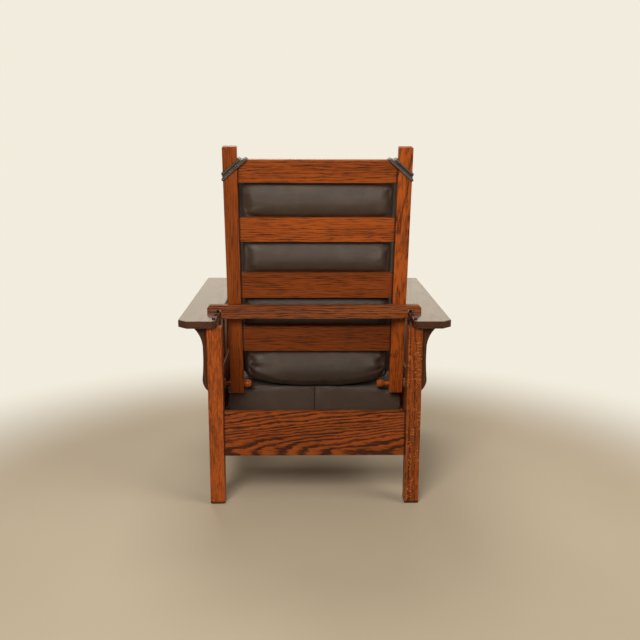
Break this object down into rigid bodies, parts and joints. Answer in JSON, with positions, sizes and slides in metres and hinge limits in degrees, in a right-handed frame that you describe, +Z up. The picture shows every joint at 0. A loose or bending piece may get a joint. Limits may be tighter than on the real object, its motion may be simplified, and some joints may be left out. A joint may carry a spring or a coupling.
{
  "type": "reclining armchair",
  "caption": "Mission armchair with flat arms, slatted sides, a slatted back that reclines on pivot pegs against a bar on the arms, and leather seat and back cushions.",
  "frame": {"origin": "on the floor, under the middle of the arms", "axes": "+Z up, the sitter faces -Y, +X towards the sitter's left hand"},
  "size_m": [0.82, 0.83, 1.0811],
  "materials": {
    "oak_frame": "satin",
    "oak_arm": "satin",
    "oak_peg": "satin",
    "pale_washer": "matte",
    "deck_wood": "matte",
    "leather_cushion": "satin",
    "leather_strap": "satin",
    "steel_screw": "satin"
  },
  "bodies": {
    "frame": {"rear_leg_left": "oak_frame", "front_leg_left": "oak_frame", "side_rail_left": "oak_frame", "side_slat_left_1": "oak_frame", "side_slat_left_2": "oak_frame", "side_slat_left_3": "oak_frame", "side_slat_left_4": "oak_frame", "side_slat_left_5": "oak_frame", "arm_left": "oak_arm", "rear_corbel_left": "oak_arm", "front_corbel_left": "oak_arm", "arm_buttons_left": "oak_peg", "pivot_peg_left": "oak_peg", "pivot_washer_left": "pale_washer", "seat_cleat_left": "deck_wood", "cleat_screws_left": "steel_screw", "rear_leg_right": "oak_frame", "front_leg_right": "oak_frame", "side_rail_right": "oak_frame", "side_slat_right_1": "oak_frame", "side_slat_right_2": "oak_frame", "side_slat_right_3": "oak_frame", "side_slat_right_4": "oak_frame", "side_slat_right_5": "oak_frame", "arm_right": "oak_arm", "rear_corbel_right": "oak_arm", "front_corbel_right": "oak_arm", "arm_buttons_right": "oak_peg", "pivot_peg_right": "oak_peg", "pivot_washer_right": "pale_washer", "seat_cleat_right": "deck_wood", "cleat_screws_right": "steel_screw", "rear_rail": "oak_frame", "front_rail": "oak_frame", "seat_slat_1": "deck_wood", "seat_slat_2": "deck_wood", "seat_slat_3": "deck_wood", "seat_slat_4": "deck_wood", "seat_slat_5": "deck_wood", "seat_slat_6": "deck_wood", "seat_slat_7": "deck_wood", "seat_cushion": "leather_cushion"},
    "back": {"back_stile_left": "oak_frame", "back_stile_right": "oak_frame", "back_slat_1": "oak_frame", "back_slat_2": "oak_frame", "back_slat_3": "oak_frame", "back_slat_4": "oak_frame", "back_cushion": "leather_cushion", "cushion_strap_left": "leather_strap", "cushion_strap_right": "leather_strap"},
    "bar": {"recline_bar": "oak_arm"}
  },
  "joints": [
    {"name": "back_recline", "type": "hinge", "parent": "frame", "child": "back", "pos_m": [0, 0.185, 0.323], "axis": [-1, 0, 0], "range_deg": [0, 21.4]},
    {"name": "bar_slide", "type": "slide", "parent": "frame", "child": "bar", "axis": [0, 1, 0], "range_m": [0, 0.1215]}
  ],
  "couplings": [
    {"joint": "bar_slide", "follows": "back_recline", "m_per_rad": 0.32415}
  ]
}
